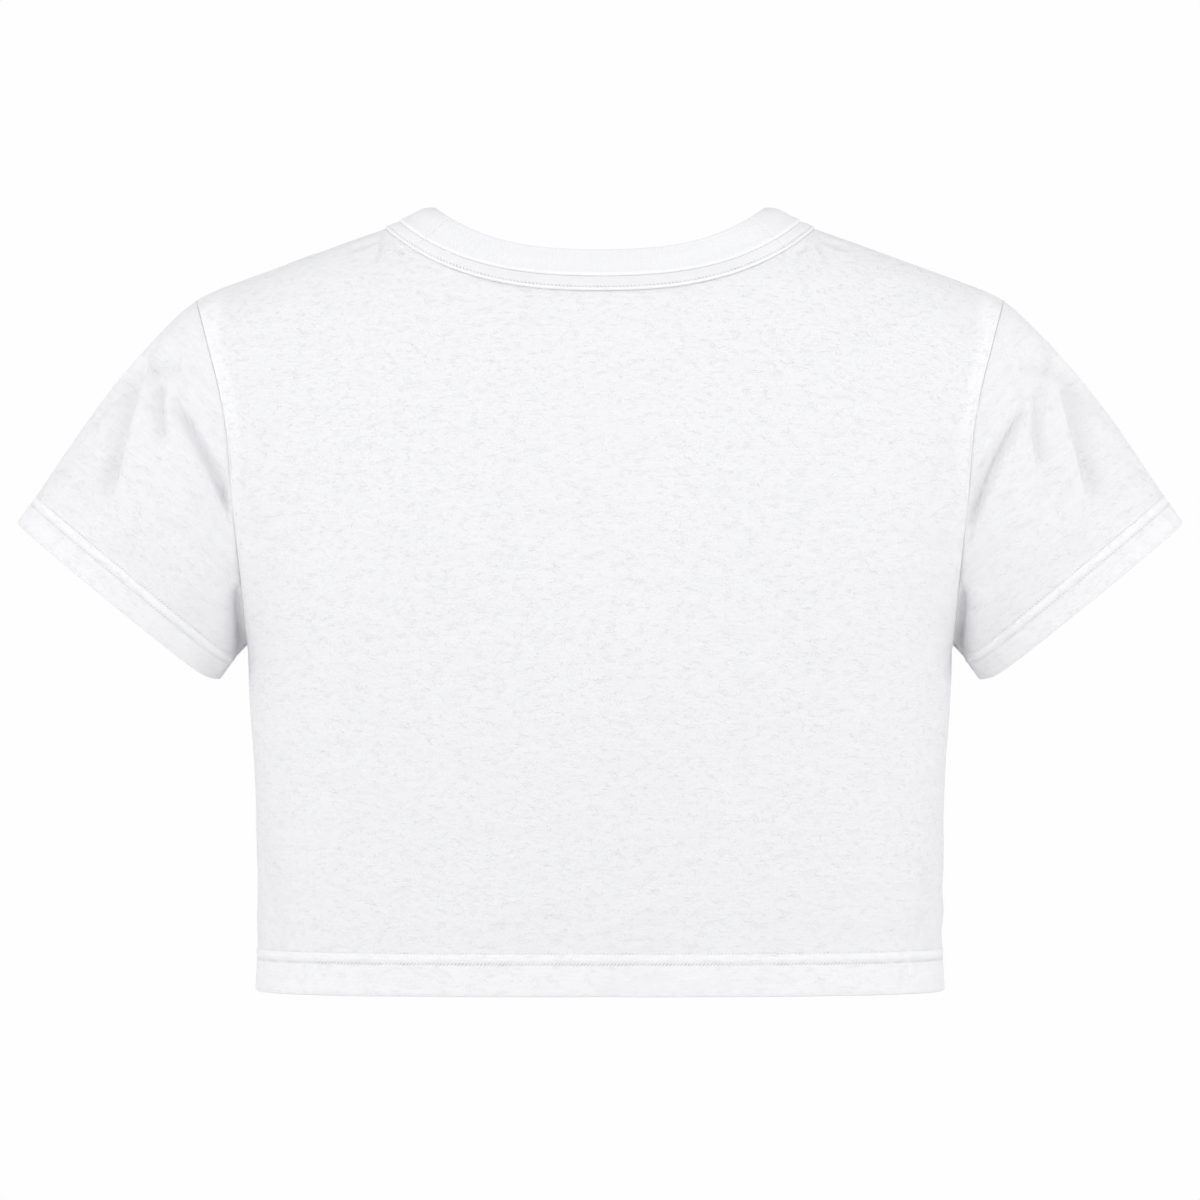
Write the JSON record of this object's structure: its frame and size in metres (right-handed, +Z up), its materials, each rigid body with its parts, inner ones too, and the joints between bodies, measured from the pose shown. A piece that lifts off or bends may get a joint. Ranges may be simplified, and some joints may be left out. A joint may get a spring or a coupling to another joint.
{
  "type": "crop top",
  "caption": "Short boxy crop top in white slub jersey, filled out and hollow, with short set-in sleeves, a wide rib collar, a topstitched neck strip and turned hems.",
  "frame": {"origin": "between the wearer's shoulders, level with the sides of the neck seam, where the shoulders hold the top up", "axes": "+X towards the wearer's left, +Y out of the back, -Y out of the front, +Z up"},
  "size_m": [0.5786, 0.2089, 0.3874],
  "materials": {
    "jersey": "matt white slub jersey",
    "rib": "matt white fine rib"
  },
  "bodies": {
    "root": {"back_panel": "jersey", "front_panel": "jersey", "sleeve_left": "jersey", "sleeve_right": "jersey", "neck_strip_back": "jersey", "neck_strip_front": "jersey", "neck_rib_back": "rib", "neck_rib_front": "rib"}
  },
  "joints": []
}
